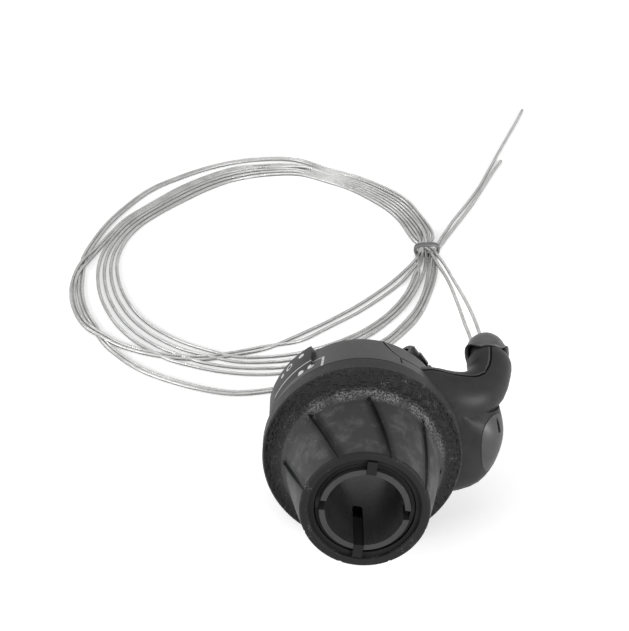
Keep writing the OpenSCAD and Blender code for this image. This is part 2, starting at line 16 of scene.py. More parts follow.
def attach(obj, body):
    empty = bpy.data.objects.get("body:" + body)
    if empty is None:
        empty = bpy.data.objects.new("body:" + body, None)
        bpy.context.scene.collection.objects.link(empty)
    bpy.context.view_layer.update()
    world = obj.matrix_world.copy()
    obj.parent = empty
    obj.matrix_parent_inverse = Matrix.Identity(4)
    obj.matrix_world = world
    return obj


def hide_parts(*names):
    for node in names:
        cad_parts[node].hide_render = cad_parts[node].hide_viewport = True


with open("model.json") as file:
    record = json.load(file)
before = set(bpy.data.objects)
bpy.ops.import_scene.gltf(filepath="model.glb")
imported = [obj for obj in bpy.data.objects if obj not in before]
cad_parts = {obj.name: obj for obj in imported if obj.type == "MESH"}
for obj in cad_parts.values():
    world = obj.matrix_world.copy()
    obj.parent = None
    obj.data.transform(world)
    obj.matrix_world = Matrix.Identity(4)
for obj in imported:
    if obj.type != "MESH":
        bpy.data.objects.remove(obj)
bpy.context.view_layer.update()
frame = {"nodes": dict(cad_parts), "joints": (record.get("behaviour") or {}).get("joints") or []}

bl_info = {
    "name": "Twist Shifter",
    "version": (1, 0, 0),
    "blender": (4, 5, 0),
    "location": "View3D > Sidebar > Shifter",
    "description": "Gives a twist shifter its cables, its finishes and a small photo stage",
    "category": "Object",
}

MM = 0.001
TWIST = frame["joints"][0]
CENTRE = Vector(TWIST["pos_m"])
ALONG = Vector(TWIST["axis"])
SIDE = Vector((1, 0, 0))
UP = ALONG.cross(SIDE)


# Shader building


class Value:
    """A node's output in a sum: the operators add Math nodes."""

    def __init__(self, finish, socket):
        self.finish, self.socket = finish, socket

    def math(self, operation, *others):
        """This value, and others after it, through a Math node."""
        return self.finish.add("Math", {"operation": operation}, dict(enumerate((self, *others))))

    def after(self, operation, other):
        """This value with another before it, through a Math node."""
        return self.finish.add("Math", {"operation": operation}, {0: other, 1: self})

    def output(self, name):
        """Another output of the same node."""
        return Value(self.finish, self.socket.node.outputs[name])

    def __add__(self, other):
        return self.math("ADD", other)

    def __radd__(self, other):
        return self.after("ADD", other)

    def __sub__(self, other):
        return self.math("SUBTRACT", other)

    def __rsub__(self, other):
        return self.after("SUBTRACT", other)

    def __mul__(self, other):
        return self.math("MULTIPLY", other)

    def __rmul__(self, other):
        return self.after("MULTIPLY", other)

    def __truediv__(self, other):
        return self.math("DIVIDE", other)

    def __pow__(self, other):
        return self.math("POWER", other)


class Finish:
    """The nodes of one material, or of the room: their maths, coordinates and surface."""

    def __init__(self, name, holders="materials"):
        self.holder = getattr(bpy.data, holders).new(name)
        self.holder.use_nodes = True
        self.tree = self.holder.node_tree
        self.tree.nodes.clear()

    def add(self, kind, settings=None, values=None, out=0):
        """Add a node: first its settings, then its sockets' values or links. Gives one of its outputs."""
        node = self.tree.nodes.new("ShaderNode" + kind)
        for key, setting in (settings or {}).items():
            if key == "stops":
                grey_stops(node.color_ramp.elements, setting)
            else:
                setattr(node, key, setting)
        for key, value in (values or {}).items():
            if isinstance(value, Value):
                self.tree.links.new(value.socket, node.inputs[key])
            else:
                node.inputs[key].default_value = value
        return Value(self, node.outputs[out]) if node.outputs else node

    def step(self, value, low, high, start=0.0, end=1.0):
        """A soft step from start to end as value goes from low to high."""
        span = {"Value": value, "From Min": low, "From Max": high, "To Min": start, "To Max": end}
        return self.add("MapRange", {"interpolation_type": "SMOOTHSTEP"}, span)

    def band(self, value, low, high, soft):
        """1 between low and high, 0 outside, with soft edges."""
        above = self.step(value, low - soft, low + soft)
        return above * self.step(value, high - soft, high + soft, 1.0, 0.0)

    def line(self, value, points):
        """Height of a line through some points, given as (value, height), in millimetres."""
        first, wide = points[0][0], points[-1][0] - points[0][0]
        low = min(height for at, height in points)
        tall = max(height for at, height in points) - low
        stops = [((at - first) / wide, (height - low) / tall) for at, height in points]
        return self.add("ValToRGB", {"stops": stops}, {"Fac": (value - first) / wide}) * tall + low

    def place(self):
        """The point's own place on the object, in millimetres."""
        here = self.add("TexCoord", out="Object")
        return self.add("VectorMath", {"operation": "SCALE"}, {0: here, "Scale": 1 / MM})

    def dot(self, vector, direction):
        """How far a vector reaches in a direction."""
        return self.add("VectorMath", {"operation": "DOT_PRODUCT"}, {0: vector, 1: direction}, "Value")

    def about_axis(self, place):
        """How far a point is along and across the bar and from its centre line, and its turn in degrees."""
        off = self.add("VectorMath", {"operation": "SUBTRACT"}, {0: place, 1: CENTRE / MM})
        across, height = self.dot(off, SIDE), self.dot(off, UP)
        radius = (across * across + height * height) ** 0.5
        return self.dot(off, ALONG), across, radius, height.math("ARCTAN2", across) * (180 / pi)

    def noise(self, place, size, detail=2.0, roughness=0.5):
        """Cloudy noise whose lumps are about that many millimetres."""
        values = {"Vector": place, "Scale": 1 / size, "Detail": detail, "Roughness": roughness}
        return self.add("TexNoise", None, values)

    def cells(self, place, size):
        """Distance to the nearest of scattered points, that many millimetres apart."""
        return self.add("TexVoronoi", {"feature": "F1"}, {"Vector": place, "Scale": 1 / size}, "Distance")

    def specks(self, place, size, apart, reach):
        """Small specks of that size in patches so far apart. The lower the reach, the larger the patches."""
        grain = self.step(self.noise(place, size, 1.0), 0.60, 0.72)
        return grain * self.step(self.noise(place, apart, 1.0), reach, reach + 0.12)

    def mix(self, amount, first, second):
        """A colour between two, by amount."""
        first, second = ((*c, 1.0) if isinstance(c, tuple) else c for c in (first, second))
        return self.add("Mix", {"data_type": "RGBA"}, {0: amount, 6: first, 7: second}, 2)

    def relief(self, height, depth, rounding=0.0):
        """A normal bent by a height of 0 to 1, depth millimetres deep, with edges that look rounded."""
        values = {"Height": height, "Distance": depth * MM, "Strength": 1.0}
        if rounding:
            values["Normal"] = self.add("Bevel", {"samples": 4}, {"Radius": rounding * MM})
        return self.add("Bump", None, values)

    def close(self, values):
        """Finish the material with its surface shader."""
        self.add("OutputMaterial", None, {"Surface": self.add("BsdfPrincipled", None, values)})
        return self.holder


def grey_stops(elements, stops):
    """Set a ramp's stops, each a place and a level. A new ramp has two of them."""
    for place, _ in stops[2:]:
        elements.new(place)
    for element, (place, level) in zip(elements, stops):
        element.position, element.color = place, (level, level, level, 1.0)


def shade(colour, factor):
    """A colour made lighter or darker."""
    return tuple(min(1.0, c * factor) for c in colour)


# Settings


def paint(name, description, default):
    """A colour that can be set in the sidebar."""
    return FloatVectorProperty(
        name=name, description=description, subtype="COLOR", default=default, min=0.0, max=1.0)


class ShifterStage(bpy.types.PropertyGroup):
    camera_at: FloatVectorProperty(
        name="Camera Place", description="Where the camera stands", subtype="TRANSLATION", unit="LENGTH",
        precision=4, default=(-0.021730, -0.415707, 0.359508))
    camera_pitch: FloatProperty(
        name="Camera Pitch", description="How far the camera looks down from level", subtype="ANGLE",
        default=radians(34.25))
    lens: FloatProperty(
        name="Lens", description="Focal length, for a 36 mm wide sensor", unit="CAMERA", default=102.694)
    key_power: FloatProperty(
        name="Top Light", description="Power of the wide soft light overhead", unit="POWER", default=3.0)
    fill_power: FloatProperty(
        name="Side Lights", description="Power of each soft light beside the camera", unit="POWER",
        default=13.0)
    sky: FloatProperty(
        name="Room Light", description="Strength of the even light from all round", default=0.28, min=0.0)
    floor_colour: paint("Floor", "Colour of the table top", (0.86, 0.86, 0.86))
    floor_lift: FloatProperty(
        name="Floor Lift", description="Light that the pale table adds to its own picture", default=0.38,
        min=0.0, max=1.0)


class ShifterCables(bpy.types.PropertyGroup):
    thickness: FloatProperty(
        name="Cable Thickness", description="Diameter of each steel cable", unit="LENGTH", precision=4,
        default=1.2 * MM)
    strand_lay: FloatProperty(
        name="Strand Lay", description="Length over which a strand turns once round the cable",
        unit="LENGTH", precision=4, default=7.5 * MM)
    strands: IntProperty(name="Outer Strands", description="Strands that show round the cable", default=9)
    sides: IntProperty(name="Cable Sides", description="Flat sides of each cable's tube", default=12, min=6)
    steel: paint("Cable Steel", "Colour of the bright steel", (0.8, 0.8, 0.79))
    settling: IntProperty(
        name="Settling Steps", description="Steps in which the coiled cables sink onto each other",
        default=160)
    tie: paint("Tie", "Colour of the tie round the coil", (0.075, 0.075, 0.076))


class ShifterFinishes(bpy.types.PropertyGroup):
    housing: paint("Housing", "Colour of the moulded housing", (0.024, 0.024, 0.0245))
    rubber: paint("Grip Rubber", "Colour of the grip's rubber", (0.025, 0.025, 0.0255))
    worn: paint("Worn Rubber", "Colour of the rubber where hands rubbed it dull", (0.15, 0.15, 0.148))
    sleeve: paint("Sleeve", "Colour of the sleeve on the handlebar", (0.019, 0.019, 0.0195))
    # Near black: partly the dark plastic, partly painted shade deep in the grip's bore.
    core: paint("Grip Core", "Colour of the hard plastic inside the grip", (0.006, 0.006, 0.0065))
    cover: paint("Side Cover", "Colour of the cover on the arm", (0.041, 0.041, 0.042))
    boot: paint("Boot", "Colour of the soft boot where the cables leave", (0.06, 0.06, 0.062))
    drum: paint("Drum", "Colour of the drum that the cables wind on", (0.3, 0.3, 0.3))
    print_colour: paint("Printed Marks", "Colour of the plain marks on the housing", (0.5, 0.5, 0.5))
    rounding: FloatProperty(
        name="Edge Rounding", description="How round moulded edges look, in millimetres", default=0.25,
        min=0.0)


# Lines and skins


def distances(points):
    """How far along its line each point lies."""
    return np.concatenate([[0], np.cumsum(np.linalg.norm(np.diff(points, axis=0), axis=1))])


def headings(points):
    """The direction of a line at each of its points."""
    ways = np.gradient(points, axis=0)
    return ways / np.linalg.norm(ways, axis=1)[:, None]


def spread(points, count):
    """So many points at even distances along a line."""
    along = distances(points)
    steps = np.linspace(0, along[-1], count)
    return np.stack([np.interp(steps, along, column) for column in points.T], axis=1)


def resample(points, spacing):
    """Points at an even spacing on a smooth curve through the given ones."""
    p = np.array(points, float)
    p = np.vstack([2 * p[0] - p[1], p, 2 * p[-1] - p[-2]])
    t = np.linspace(0, 1, 24, endpoint=False)[:, None]
    fine = []
    for a, b, c, d in zip(p[:-3], p[1:-2], p[2:-1], p[3:]):
        before, here, after = (np.linalg.norm(q) ** 0.5 for q in (b - a, c - b, d - c))
        leave = here * ((b - a) / before - (c - a) / (before + here) + (c - b) / here)
        arrive = here * ((c - b) / here - (d - b) / (here + after) + (d - c) / after)
        fine.append((2 * t**3 - 3 * t**2 + 1) * b + (t**3 - 2 * t**2 + t) * leave
                    + (3 * t**2 - 2 * t**3) * c + (t**3 - t**2) * arrive)
    fine = np.vstack([*fine, p[-2][None]])
    return spread(fine, max(2, round(distances(fine)[-1] / spacing) + 1))


def between(first, second, share):
    """Points a share of the way from one line to the other."""
    count = max(len(first), len(second))
    first, second = (spread(np.array(line, float), count) for line in (first, second))
    return [tuple(q) for q in first * (1 - share) + second * share]


def shift(line, by):
    """A flat line moved sideways, to the outside of the ring."""
    p = np.array(line, float)
    ways = headings(p)
    return [tuple(q) for q in p + np.stack([ways[:, 1], -ways[:, 0]], axis=1) * by]


def evened(points, reach, **edge):
    """Each point as the mean of those within reach, the near ones counting most."""
    weights = np.hanning(2 * reach + 3)[1:-1]
    weights /= weights.sum()
    padded = np.pad(points, ((reach, reach), (0, 0)), **edge)
    return np.stack([np.convolve(column, weights, mode="valid") for column in padded.T], axis=1)


def squared(turn, power):
    """How far out the edge of a rounded square lies at a turn. Its half width is 1."""
    return (abs(cos(turn)) ** power + abs(sin(turn)) ** power) ** (-1 / power)


def skin(rings, sides, closed=False):
    """Faces between rings of points, each ring joined to the next."""
    faces = []
    for i in range(rings if closed else rings - 1):
        j = (i + 1) % rings
        for k in range(sides):
            n = (k + 1) % sides
            faces.append((i * sides + k, i * sides + n, j * sides + n, j * sides + k))
    return faces


def add_piece(name, points, faces):
    """A new object. Its four-sided faces look smooth and its caps flat."""
    mesh = bpy.data.meshes.new(name)
    mesh.from_pydata([tuple(Vector(p) * MM) for p in points], [], faces)
    mesh.polygons.foreach_set("use_smooth", [len(face) == 4 for face in faces])
    mesh.update()
    piece = bpy.data.objects.new(name, mesh)
    bpy.context.scene.collection.objects.link(piece)
    return piece


# The cables


# Between a course's points, from one layer of cables to the next, and from one cable to the one beside it.
SPACING = 1.2
LAYER = 1.2
LANE = 1.25
# Each cable from the boot to the tie, from the tie to its cut end, and the CAD nodes that it stands for.
LEADS = {
    "a": [
        (29.8, 34.84, 41.83), (29.61, 37.53, 41.85), (29.41, 40.53, 41.87), (28.3, 50, 41.4),
        (27.1, 66, 37), (26.3, 84, 30), (25.9, 102, 22), (25.5, 120, 14.2), (24.7, 136, 7.8)],
    "b": [
        (26.99, 34.66, 40.46), (26.8, 37.35, 40.48), (26.6, 40.34, 40.51), (25.7, 50, 38.6),
        (25.2, 66, 34), (25, 84, 27.2), (24.9, 102, 19.8), (24.5, 120, 12.2), (23.3, 136, 6.2)],
}
ENDS = {
    "a": [
        (26, 163, 2.7), (32, 176, 1.6), (38.4, 190, 0.9), (44, 203, 0.7), (49.6, 219, 0.7),
        (56.4, 238, 0.7), (63, 256, 0.7), (66.6, 266.6, 0.7)],
    "b": [
        (27.4, 162, 1.5), (33.4, 174.6, 0.8), (39.6, 188, 0.7), (45.6, 203, 0.7), (50.4, 215, 0.7),
        (53.8, 222.6, 0.7)],
}
STANDS_FOR = {"a": ("cable_a_lead", "cable_a_end", "cable_coil"), "b": ("cable_b_lead", "cable_b_end")}

# The widest turn, the turn that crosses the ring behind the housing, and the bundle's outer and inner edge.
WIDE = [
    (-27.5, 224), (-41, 225), (-54, 222.5), (-66.5, 216.5), (-77.5, 208.5), (-87, 200), (-94.5, 188),
    (-101, 175), (-105.5, 160.5), (-108, 146), (-108, 134), (-106.5, 123.5), (-103.5, 112.5),
    (-99.5, 103.5), (-94.5, 93.5), (-87, 84), (-80, 77.5), (-69.5, 71.5), (-59, 67), (-48, 64.5),
    (-34.5, 67), (-15, 73), (-3, 84),
]
CROSSING = [
    (-27.5, 218), (-42, 218), (-53.5, 216.5), (-66, 208), (-75, 200), (-83.5, 190), (-90.5, 181.5),
    (-95, 175.5), (-99.5, 164), (-105.5, 150.5), (-109, 136), (-109, 124.5), (-107, 115.5), (-103, 106.5),
    (-97, 99.5), (-91.5, 94.5), (-84.5, 91), (-76, 87.5), (-68, 86), (-59.5, 85.5), (-49, 88), (-38, 92),
]
CROSSING_ENDS = (
    [(-26.8, 99.6), (-17.1, 107.6), (-7.2, 116.8), (-0.5, 124.2), (6.4, 132.8), (14.8, 145.7)],
    [(-26.8, 95.4), (-17.2, 103.8), (-9, 110.5), (0.5, 120.7), (9.2, 131.7), (14.5, 141.4)],
)
BUNDLE_OUT = [
    (-27.5, 218), (-42, 218), (-53.5, 215.5), (-66, 207.5), (-75, 199), (-83.5, 188.5), (-90.5, 179.5),
    (-96, 169.5), (-99.5, 159.5), (-101.5, 148), (-101, 135), (-98.5, 121.5), (-94, 110.5),
    (-88.5, 100.5), (-81, 92), (-74, 86), (-64, 81), (-54, 77.5), (-44, 76), (-32.5, 76.5),
]
BUNDLE_IN = [
    (-27.5, 212), (-34.5, 212), (-44, 211), (-54.5, 207.5), (-65.5, 198.5), (-74.5, 189.5), (-82, 181),
    (-88.5, 173), (-92.5, 164), (-94.5, 155), (-95, 146), (-93.5, 135), (-90, 122.5), (-85.5, 113.5),
    (-80, 105.5), (-72.5, 98.5), (-65.5, 93.5), (-58.5, 90), (-49, 86), (-38, 86), (-26.5, 88.5),
]
# The turns as they fan out between the bundle and the tie, from left to right.
FAN = (
    [(-8.7, 98.4), (0.1, 106.9), (5.8, 114.6), (11.7, 126.4), (15.6, 139.7)],
    [(-3.9, 97.5), (1.6, 104), (7.9, 112.7), (13.8, 124.4), (17.8, 138.7)],
    [(2.2, 95.6), (7.5, 103.1), (12.1, 110.7), (17, 122.5), (20.4, 138.7)],
    [(5.6, 95.2), (10.7, 102.2), (15.4, 110.7), (19.2, 122.5), (22.6, 138.7)],
)
# From the tie to the back of the ring, outer and inner edge.
RISE_OUT = [(22.3, 165.7), (19.2, 178.1), (14.5, 191.9), (4, 203.2), (-7.3, 211.8), (-18.3, 216.7)]
RISE_IN = [(16.4, 161.8), (14.7, 168.4), (10.9, 177.4), (3.6, 187.7), (-7.5, 199.5), (-18.4, 206.5)]

TIE_Y = 151.5
# Where each cable's five passes lie in the tie: across and height.
TIE_SLOTS = {"a": [(22.2, 4.15), (17.3, 1.85), (21.05, 1.85), (17.9, 3.0), (22.6, 3.0)],
             "b": [(20.9, 4.15), (18.55, 1.85), (19.8, 1.85), (19.15, 3.0), (22.3, 1.85)]}


def at_height(line, height):
    """A flat line's points at a height."""
    return [(x, y, height) for x, y in line]


def through_tie(slot):
    """Two points that lead a cable straight through its place in the tie."""
    x, z = slot
    reach = 1.6
    return [(x, TIE_Y - reach, z), (x, TIE_Y + reach, z)]


def cable_course(name):
    """One cable's rough course: from the boot to the tie, four times round the ring and out to its end."""
    second = name == "b"
    aside = -LANE if second else 0.0
    past_bundle, first_layer, beside_rise = 0.6, 0.7, 0.13
    turns = [
        between(BUNDLE_OUT, BUNDLE_IN, 1.0 if second else 0.67) + shift(FAN[0], 0.0 if second else LANE),
        between(BUNDLE_OUT, BUNDLE_IN, 0.33 if second else 0.0) + FAN[1 if second else 2],
        shift(CROSSING, aside + past_bundle) + CROSSING_ENDS[1 if second else 0],
        shift(WIDE, aside) + shift(FAN[3], aside),
    ]
    rise_shares = [0.82, 0.56, 0.3, 0.0]
    layers = [0, 2, 4, 0]
    lead_slot, *slots = TIE_SLOTS[name]
    points = LEADS[name] + through_tie(lead_slot)
    for turn, share, layer, slot in zip(turns, rise_shares, layers, slots):
        height = first_layer + layer * LAYER + (LAYER if second else 0.0)
        back = between(RISE_OUT, RISE_IN, share + (beside_rise if second else 0.0))
        points += at_height(back, height) + at_height(turn, height) + through_tie(slot)
    return points + ENDS[name]


def held_points(courses):
    """Which of all the points stay where they are: the leads, the ends and what lies in the tie."""
    tie_reach, tie_left, lead_height, loose_points = 2.0, 14, 12, 8
    points = np.vstack(courses)
    in_tie = np.abs(points[:, 1] - TIE_Y) < tie_reach
    held = (in_tie & (points[:, 0] > tie_left)) | (points[:, 2] > lead_height)
    start = 0
    for course, end_points in zip(courses, ENDS.values()):
        stop = start + len(course)
        held[start:start + int(np.argmax(in_tie[start:stop]))] = True
        held[stop - len(resample(end_points, SPACING)) + loose_points:stop] = True
        start = stop
    return held


def push_apart(points, owner, gap):
    """Pushes that part points nearer than the gap, mostly in height. Near ones of one run don't count."""
    same_run, steepness, strength = 6, 2.5, 0.9
    tree = KDTree(len(points))
    for i, p in enumerate(points):
        tree.insert(p, i)
    tree.balance()
    push = np.zeros_like(points)
    for i, p in enumerate(points):
        for _, j, distance in tree.find_range(p, gap):
            if j <= i or (owner[i] == owner[j] and j - i < same_run):
                continue
            away = points[j] - p
            away[2] *= steepness
            size = np.linalg.norm(away) or 1.0
            part = away / size * (gap - distance) * strength
            push[i] -= part
            push[j] += part
    return push


def settle(courses, thickness, steps):
    """Let the stiff cables sink onto the table and each other, with their leads, ends and tie held."""
    gap, floor = thickness * 1.02, thickness / 2 + 0.05
    sink, late_sink, late, hold_home, stiffness = 0.16, 0.02, 0.8, 0.03, 1.25
    points = np.vstack(courses)
    owner = np.concatenate([np.full(len(course), i) for i, course in enumerate(courses)])
    home = points.copy()
    held = held_points(courses)
    free = (~held)[:, None].astype(float)
    ends = np.cumsum([len(course) for course in courses])
    runs = list(zip([0, *ends[:-1]], ends))
    for step in range(steps):
        push = push_apart(points, owner, gap)
        push[:, 2] -= sink if step < steps * late else late_sink
        push[:, :2] += (home - points)[:, :2] * hold_home
        for start, end in runs:
            push[start:end] = evened(push[start:end], 5, mode="edge") * stiffness
        points = points + push * free
        points[(points[:, 2] < floor) & ~held, 2] = floor
    settled = [evened(points[start:end], 8, mode="reflect", reflect_type="odd") for start, end in runs]
    for course in settled:
        course[:, 2] = np.maximum(course[:, 2], floor)
    return settled


def tube(name, points, radius, sides):
    """A closed round tube along a line, with the distance along it in its UV map."""
    ways = headings(points)
    normal = np.cross(ways[0], (0, 0, 1.0))
    turns = np.linspace(0, 2 * pi, sides, endpoint=False)
    verts = []
    for here, way in zip(points, ways):
        normal = normal - way * normal.dot(way)
        normal /= np.linalg.norm(normal)
        across = np.cross(way, normal)
        verts += [here + radius * (cos(t) * normal + sin(t) * across) for t in turns]
    cap = list(range(sides))
    faces = skin(len(points), sides) + [cap[::-1], [len(verts) - sides + k for k in cap]]
    along = distances(points)
    uvs = []
    for start, end in zip(along[:-1], along[1:]):
        for k in range(sides):
            left, right = k / sides, (k + 1) / sides
            uvs += [(left, start), (right, start), (right, end), (left, end)]
    uvs += [(0.5, along[0])] * sides + [(0.5, along[-1])] * sides
    piece = add_piece(name, verts, faces)
    piece.data.uv_layers.new(name="cable").data.foreach_set("uv", np.array(uvs).ravel())
    return piece


def cable_steel(settings):
    """Bright steel strands laid round the cable, with painted shade in their valleys and on their underside,
    and a little grime.
    """
    finish = Finish("cable steel")
    place = finish.place()
    upward = finish.dot(finish.add("TexCoord", out="Normal"), (0.0, 0.0, 1.0))
    around = finish.add("SeparateXYZ", None, {0: finish.add("UVMap", {"uv_map": "cable"})}, "X")
    length = around.output("Y")
    wave = (around + length * (MM / settings.strand_lay)) * settings.strands
    ridge = finish.step((wave * (2 * pi)).math("COSINE"), -1.0, 0.7)
    grime = finish.step(finish.noise(place, 9.0, 3.0), 0.4, 0.62)
    # Painted shade: the valleys between the strands are darker.
    colour = finish.mix(ridge, shade(settings.steel, 0.3), tuple(settings.steel))
    # Painted shade: the steel darkens where its surface faces down and stays bright where it faces up.
    colour = finish.mix(finish.step(upward, 0.75, -0.1) * 0.88, colour, shade(settings.steel, 0.12))
    colour = finish.mix(grime * 0.45, colour, shade(settings.steel, 0.42))
    return finish.close({
        "Base Color": colour,
        "Metallic": 1.0,
        "Roughness": finish.noise(place, 2.0) * 0.2 + 0.2,
        "Normal": finish.relief(ridge, 0.11),
    })


class ShifterCablesMake(bpy.types.Operator):
    """Lay the two steel cables from the boot through the tie, round the ring and out to their cut ends"""
    bl_idname = "shifter.cables"
    bl_label = "Cables"

    def execute(self, context):
        settings = context.scene.shifter_cables
        thickness = settings.thickness / MM
        steps = settings.settling
        courses = settle([resample(cable_course(name), SPACING) for name in "ab"], thickness, steps)
        steel = cable_steel(settings)
        for name, course in zip("ab", courses):
            piece = tube("cable_" + name, course, thickness / 2, settings.sides)
            piece.data.materials.append(steel)
            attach(piece, "housing")
            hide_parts(*STANDS_FOR[name])
        return {"FINISHED"}


class ShifterTieMake(bpy.types.Operator):
    """Make the soft plastic ring that holds the coil together"""
    bl_idname = "shifter.tie"
    bl_label = "Tie"

    def execute(self, context):
        settings = context.scene.shifter_cables
        rings, sides = 64, 14
        middle = Vector((20.0, TIE_Y, 2.98))
        half_width, half_height, half_wall, half_length, lowest = 4.25, 2.32, 0.62, 1.15, 0.04
        ring_power, wall_power, wave = 3.2, 2.6, 0.35
        points = []
        for i in range(rings):
            turn = 2 * pi * i / rings
            c, s, reach = cos(turn), sin(turn), squared(turn, ring_power)
            out = Vector((c * reach * half_width, 0, s * reach * half_height))
            way = Vector((c, 0, s * 1.35)).normalized()
            lean = wave * sin(turn * 2 + 0.6)
            for k in range(sides):
                a = 2 * pi * k / sides
                flat = squared(a, wall_power)
                point = middle + out + way * (cos(a) * flat * half_wall)
                point.y += sin(a) * flat * half_length + lean
                point.z = max(lowest, point.z)
                points.append(point)
        piece = add_piece("tie", points, [(a, d, c, b) for a, b, c, d in skin(rings, sides, closed=True)])
        finish = Finish("tie plastic")
        place = finish.place()
        ribs = finish.noise(place, 0.5, 3.0)
        tone = finish.mix(finish.noise(place, 2.4), shade(settings.tie, 0.8), shade(settings.tie, 1.5))
        piece.data.materials.append(finish.close({
            "Base Color": tone,
            "Roughness": ribs * 0.2 + 0.32,
            "Normal": finish.relief(ribs, 0.06),
        }))
        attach(piece, "housing")
        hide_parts("coil_tie")
        return {"FINISHED"}


# The shifter's finishes


DUST = (0.3, 0.3, 0.3)


def smooth(name):
    """Show a CAD node's moulded skin smooth, with its true edges kept."""
    node = frame["nodes"][name]
    normals = node.data.attributes.get("custom_normal")
    if normals:
        node.data.attributes.remove(normals)
    node.data.polygons.foreach_set("use_smooth", [True] * len(node.data.polygons))
    node.modifiers.new("joined skin", "WELD").merge_threshold = 0.01 * MM
    node.modifiers.new("true edges", "EDGE_SPLIT").split_angle = radians(28)


def wear(names, material):
    """Give CAD nodes a material."""
    for name in names:
        smooth(name)
        mesh = frame["nodes"][name].data
        mesh.materials.clear()
        mesh.materials.append(material)


def moulded(name, colour, roughness, grain, depth, rounding, gloss):
    """Moulded plastic: a fine spark-eroded grain and a slow shading of its colour."""
    finish = Finish(name)
    place = finish.place()
    cloud = finish.noise(place, 6.0, 3.0)
    fine = finish.noise(place, grain, 2.0, 0.6)
    return finish.close({
        "Base Color": finish.mix(finish.step(cloud, 0.3, 0.7), shade(colour, 0.86), shade(colour, 1.16)),
        "Specular IOR Level": gloss,
        "Roughness": fine * 0.16 + cloud * 0.08 + (roughness - 0.12),
        "Normal": finish.relief(fine, depth, rounding),
    })


def steel(name, colour, roughness, turned=0.0):
    """Plated or blackened steel with faint machining marks."""
    finish = Finish(name)
    place = finish.place()
    cloud = finish.noise(place, 1.6, 3.0)
    marks = finish.noise(place, 0.18, 2.0)
    return finish.close({
        "Base Color": finish.mix(cloud, shade(colour, 0.8), shade(colour, 1.15)),
        "Metallic": 1.0,
        "Roughness": cloud * 0.16 + marks * 0.1 + (roughness - 0.13),
        "Normal": finish.relief(marks, 0.012 + turned, 0.15),
    })


class ShifterGripFinish(bpy.types.Operator):
    """Give the grip's rubber its satin rim, pebbled hollow, rubbed crest and grooved, smudged barrel, with
    painted shade in the hollow, along each groove and on the end face
    """
    bl_idname = "shifter.grip_finish"
    bl_label = "Grip Rubber"

    def execute(self, context):
        settings = context.scene.shifter_finishes
        rubber, worn = tuple(settings.rubber), tuple(settings.worn)
        finish = Finish("grip rubber")
        place = finish.place()
        along, _, radius, turn = finish.about_axis(place)
        ragged = (finish.noise(place, 1.1, 3.0, 0.6) - 0.5) * 3.2
        fine = finish.noise(place, 0.24, 2.0, 0.65)
        hollow = finish.band(along + ragged * 0.5, 1.1, 5.2, 0.6) * finish.step(radius, 21.5, 23.0)
        crest = finish.band(along + ragged, 4.2, 7.6, 1.2)
        barrel = finish.step(along, 7.5, 10.0)
        smudge = finish.step(finish.noise(place, 5.0, 3.0, 0.6), 0.45, 0.66) * finish.noise(place, 0.7, 2.0)
        scratches = finish.step(finish.noise(place, 0.5, 2.0, 0.7), 0.42, 0.62)
        rubbed = crest * scratches * self.upper(finish, turn)
        patches = finish.step(finish.noise(place, 8.0, 2.0), 0.36, 0.62)
        end_face_shade = finish.step(along, 30.4, 31.1)
        # Painted shade: the pebbled hollow is darker.
        colour = finish.mix(hollow, rubber, shade(rubber, 0.42))
        colour = finish.mix(barrel * finish.noise(place, 11.0, 2.0), colour, shade(rubber, 1.55))
        colour = finish.mix(barrel * smudge, colour, shade(rubber, 3.2))
        # Painted shade in dark bands along each finger groove.
        colour = finish.mix(self.painted_groove_shade(finish, along, turn, radius) * 0.85, colour, shade(rubber, 0.3))
        colour = finish.mix(rubbed * patches * 0.8 + rubbed * 0.18, colour, worn)
        # Painted shade: the grip's end face is darker.
        colour = finish.mix(end_face_shade, colour, shade(rubber, 0.3))
        colour = finish.mix(finish.specks(place, 0.3, 3.4, 0.56) * 0.5, colour, shade(worn, 1.5))
        pebbles = finish.step(finish.cells(place, 1.05), 0.2, 0.65) * hollow
        scuffs = finish.step(finish.cells(place, 0.5), 0.1, 0.4) * crest
        wear(["grip_rubber"], finish.close({
            "Base Color": colour,
            "Specular IOR Level": 0.13,
            "Roughness": fine * 0.16 + hollow * 0.1 + 0.46,
            "Normal": finish.relief(pebbles + fine * 0.2 + scuffs * 0.5, 0.3, settings.rounding),
        }))
        return {"FINISHED"}

    def upper(self, finish, turn):
        """The upper side of the grip at rest, where hands rub it."""
        return finish.step((turn - 80.0).math("ABSOLUTE"), 25.0, 115.0, 1.0, 0.0)

    def painted_groove_shade(self, finish, along, turn, radius):
        """Painted shade along each leaning finger groove: the bands start past the crest and lie a pitch
        apart, in degrees.
        """
        start, lean, first, pitch = 6.2, 0.763, 87.0, 45.0
        share = (turn + (along - start) * lean - first) / pitch
        away = share.math("PINGPONG", 0.5) * radius * radians(pitch)
        return finish.step(away, 3.0, 0.9) * finish.step(along, 6.4, 8.6)


# Where the two shells meet: the rise and the fall as (along, across), the run between as (across, along).
SEAM_RISE = [(-27.0, 5.0), (-24.6, 6.4), (-21.0, 7.3), (-18.0, 8.4), (-15.4, 9.8), (-13.4, 11.6)]
SEAM_RUN = [
    (9.8, -15.4), (11.6, -13.4), (13.6, -12.95), (16.0, -13.0), (21.0, -14.0), (31.0, -14.0),
    (33.2, -14.0), (34.6, -14.4), (36.0, -15.4),
]
SEAM_FALL = [(-30.0, 39.0), (-25.0, 39.15), (-21.0, 38.8), (-18.8, 38.2), (-16.8, 37.2), (-15.4, 36.0)]
# The spots and the ring on the raised pad: along, turn, radius and the radius of the hole, or FULL.
FULL = -1.0
SPOTS = [
    (-10.6, 122.6, 1.1, FULL), (-10.6, 130.0, 1.1, FULL), (-21.3, 129.4, 1.0, FULL),
    (-20.8, 139.6, 1.35, 0.85), (-20.4, 146.5, 0.8, FULL),
]
PAD_MM_PER_DEGREE = 0.49


